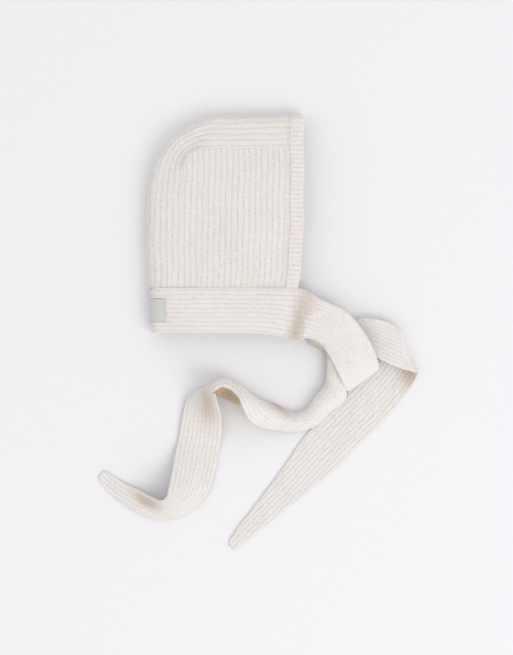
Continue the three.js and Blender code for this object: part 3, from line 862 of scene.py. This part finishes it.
def wool(name, light):
    """Brushed wool: fine strands along each stitch and fibre noise over them.

    Broken lines of painted shade run in the valleys and, fainter, down the middle of each rib. Fleck and
    mottle noises vary the colour. It turns to a darker colour with painted shade in a fold or by a seam, and
    to a painted glow, as if light came through the cloth, in a curl and where the painted shade is strongest.
    """
    material = bpy.data.materials.new(name)
    material.use_nodes = True
    nodes, links = material.node_tree.nodes, material.node_tree.links
    shader = nodes["Principled BSDF"]
    set_sockets(shader, Roughness=0.92, Sheen_Weight=0.2, Sheen_Roughness=0.5, Specular_IOR_Level=0.2)
    place = nodes.new("ShaderNodeTexCoord").outputs["Object"]
    knit = nodes.new("ShaderNodeUVMap")
    knit.uv_map = "knit"

    def noise(scale, detail, roughness):
        """Cloudy noise over the piece's own place."""
        texture = nodes.new("ShaderNodeTexNoise")
        set_sockets(texture, Scale=scale, Detail=detail, Roughness=roughness)
        links.new(place, texture.inputs["Vector"])
        return texture.outputs["Fac"]

    def math_node(operation, first, second=0):
        """One step of arithmetic on sockets or numbers."""
        node = nodes.new("ShaderNodeMath")
        node.operation = operation
        for socket, value in zip(node.inputs, (first, second)):
            if isinstance(value, (int, float)):
                socket.default_value = value
            else:
                links.new(value, socket)
        return node.outputs[0]

    parts = nodes.new("ShaderNodeSeparateXYZ")
    links.new(knit.outputs["UV"], parts.inputs[0])
    off = math_node("ABSOLUTE", math_node("SUBTRACT", math_node("FRACT", parts.outputs["X"]), 0.5))
    slanted = math_node("ADD", parts.outputs["Y"], math_node("MULTIPLY", off, 2 * STITCH_SLANT))
    stray = math_node("MULTIPLY", noise(scale=420, detail=2, roughness=0.5), STRAND_STRAY)
    turns = math_node("MULTIPLY", math_node("ADD", slanted, stray), 2 * math.pi * STRANDS_A_STITCH)
    strands = math_node("SINE", turns)
    fibres = noise(scale=1500, detail=5, roughness=0.7)
    fluff = noise(scale=520, detail=4, roughness=0.65)
    height = math_node("ADD", math_node("MULTIPLY", strands, STRAND_HEIGHT), fibres)
    height = math_node("ADD", height, math_node("MULTIPLY", fluff, FLUFF_HEIGHT))
    bump = nodes.new("ShaderNodeBump")
    set_sockets(bump, Strength=0.75, Distance=0.0008)
    links.new(height, bump.inputs["Height"])
    links.new(bump.outputs["Normal"], shader.inputs["Normal"])

    def share(value, start, end):
        """0 at start, 1 at end, and an even S curve between them."""
        node = nodes.new("ShaderNodeMapRange")
        node.interpolation_type = "SMOOTHSTEP"
        set_sockets(node, From_Min=start, From_Max=end)
        links.new(value, node.inputs["Value"])
        return node.outputs["Result"]

    def mark(name):
        """One of the piece's point attributes."""
        node = nodes.new("ShaderNodeAttribute")
        node.attribute_name = name
        return node.outputs["Fac"]

    def blend(factor, first, second):
        """The first colour turned towards the second by a factor."""
        node = nodes.new("ShaderNodeMix")
        node.data_type = "RGBA"
        links.new(factor, node.inputs["Factor"])
        for socket, value in zip(node.inputs[6:8], (first, second)):
            if isinstance(value, tuple):
                socket.default_value = (*value, 1)
            else:
                links.new(value, socket)
        return node.outputs[2]

    patches = nodes.new("ShaderNodeTexNoise")
    set_sockets(patches, Scale=1.3, Detail=2, Roughness=0.6)
    links.new(knit.outputs["UV"], patches.inputs["Vector"])
    # Painted shade in the rib valleys and, fainter, in each rib's middle groove, broken up in patches and
    # weaker where the relief is pulled flat
    valleys = math_node("MULTIPLY", share(off, *VALLEY_REACH), VALLEY_PAINTED_SHADE)
    grooves = math_node("MULTIPLY", share(off, *GROOVE_FADE), GROOVE_PAINTED_SHADE)
    broken = math_node("MULTIPLY", share(patches.outputs["Fac"], *PATCHES), 1 - LEAST_LINE)
    broken = math_node("MULTIPLY", math_node("ADD", broken, LEAST_LINE), mark("slack"))
    lines = math_node("MULTIPLY", math_node("ADD", valleys, grooves), broken)
    broad = noise(scale=24, detail=2, roughness=0.5)
    mottle = math_node("ADD", noise(scale=90, detail=4, roughness=0.6), broad)
    mottle = math_node("MULTIPLY", math_node("SUBTRACT", mottle, 1.0), MOTTLING)
    flecks = math_node("SUBTRACT", math_node("ADD", fibres, fluff), 1.0)
    flecks = math_node("MULTIPLY", flecks, FLECKING)
    # The painted shade of folds and seams, with random mottle and flecks, turns the wool towards the darker
    # colour
    depth = math_node("ADD", math_node("ADD", mark("deep"), mottle), flecks)
    # The painted valley shade and the random flecks turn the wool towards one darker colour
    plain = blend(math_node("ADD", lines, flecks), light, VALLEY_SHADE_AND_FLECK_COLOUR)
    with_shade_and_mottle = blend(depth, plain, PAINTED_SHADE_AND_MOTTLE_COLOUR)
    # Where the painted shade is strongest the wool turns to a painted warm glow instead
    with_painted_glow = blend(math_node("SUBTRACT", mark("deep"), PAINTED_GLOW_START), with_shade_and_mottle, PAINTED_GLOW_COLOUR)
    links.new(with_painted_glow, shader.inputs["Base Color"])
    return material


def tape(name, colour):
    """The label's woven tape: fine crossing threads, from one wave along it and one across it."""
    material = bpy.data.materials.new(name)
    material.use_nodes = True
    nodes, links = material.node_tree.nodes, material.node_tree.links
    shader = nodes["Principled BSDF"]
    set_sockets(shader, Roughness=0.7, Sheen_Weight=0.1, Specular_IOR_Level=0.3)
    knit = nodes.new("ShaderNodeUVMap")
    knit.uv_map = "knit"
    waves = []
    for direction in ("X", "Y"):
        wave = nodes.new("ShaderNodeTexWave")
        wave.bands_direction = direction
        set_sockets(wave, Scale=0.9, Distortion=0.4, Detail=1.0)
        links.new(knit.outputs["UV"], wave.inputs["Vector"])
        waves.append(wave.outputs["Fac"])
    add = nodes.new("ShaderNodeMath")
    links.new(waves[0], add.inputs[0])
    links.new(waves[1], add.inputs[1])
    bump = nodes.new("ShaderNodeBump")
    set_sockets(bump, Strength=0.3, Distance=0.0002)
    links.new(add.outputs[0], bump.inputs["Height"])
    links.new(bump.outputs["Normal"], shader.inputs["Normal"])
    mix = nodes.new("ShaderNodeMix")
    mix.data_type = "RGBA"
    mix.inputs[6].default_value = (*colour, 1)
    mix.inputs[7].default_value = (*(LABEL_SHADE * channel for channel in colour), 1)
    half = nodes.new("ShaderNodeMath")
    half.operation = "MULTIPLY"
    half.inputs[1].default_value = 0.5
    links.new(add.outputs[0], half.inputs[0])
    links.new(half.outputs[0], mix.inputs["Factor"])
    links.new(mix.outputs[2], shader.inputs["Base Color"])
    return material


# Building

materials = {
    "panel_wool": wool("panel_wool", PANEL_COLOUR),
    "band_wool": wool("band_wool", BAND_COLOUR),
    "tie_wool": wool("tie_wool", TIE_COLOUR),
    "label_cloth": tape("label_cloth", LABEL_COLOUR),
}
upper = side_panel("side_panel_upper_knit", "side_panel_upper", FOLD_GAP, materials["panel_wool"])
lower = side_panel("side_panel_lower_knit", "side_panel_lower", 0.0, materials["panel_wool"])
crown = crown_panel("crown_panel_knit", "crown_panel", materials["panel_wool"])
face = face_band("face_band_knit", "face_band", materials["band_wool"])
tie_left, neck, tie_right = knitted_strip(materials)
tag = label("label_tape", "label", materials["label_cloth"])


# The table, the light and the camera

def floor():
    """A plain pale table top under the bonnet."""
    mesh = bpy.data.meshes.new("table_top")
    corners = [(TABLE_HALF * x, TABLE_HALF * y, 0) for x, y in ((-1, -1), (1, -1), (1, 1), (-1, 1))]
    mesh.from_pydata(corners, [], [(0, 1, 2, 3)])
    material = bpy.data.materials.new("table_paint")
    material.use_nodes = True
    set_sockets(material.node_tree.nodes["Principled BSDF"], Base_Color=(*TABLE_COLOUR, 1), Roughness=0.8)
    mesh.materials.append(material)
    piece = bpy.data.objects.new("table_top", mesh)
    bpy.context.scene.collection.objects.link(piece)


def area_light(name, place, size, power, colour):
    """A square soft light that looks at the middle of the bonnet."""
    light = bpy.data.lights.new(name, "AREA")
    light.size = size
    light.energy = power
    light.color = colour
    lamp = bpy.data.objects.new(name, light)
    lamp.location = place
    lamp.rotation_euler = (-lamp.location).to_track_quat("-Z", "Y").to_euler()
    bpy.context.scene.collection.objects.link(lamp)


floor()
area_light("window", WINDOW_PLACE, WINDOW_SIZE, WINDOW_POWER, WINDOW_COLOUR)
world = bpy.data.worlds.new("studio")
bpy.context.scene.world = world
world.use_nodes = True
set_sockets(world.node_tree.nodes["Background"], Color=(*STUDIO_COLOUR, 1), Strength=STUDIO_STRENGTH)

camera = bpy.data.objects.new("camera", bpy.data.cameras.new("camera"))
bpy.context.scene.collection.objects.link(camera)
bpy.context.scene.camera = camera
camera_x = FACE_X + (PICTURE_WIDTH / 2 - FACE_EDGE_PIXEL) * MM_A_PIXEL
camera_y = SEAM_Y + (NECK_SEAM_PIXEL - PICTURE_HEIGHT / 2) * MM_A_PIXEL
camera.data.lens = LENS
camera.data.sensor_width = SENSOR
camera.location = (camera_x * MM, camera_y * MM, PICTURE_HEIGHT * MM_A_PIXEL * MM * LENS / SENSOR)
camera.rotation_euler = (0, 0, 0)
bpy.context.scene.view_settings.view_transform = "Standard"
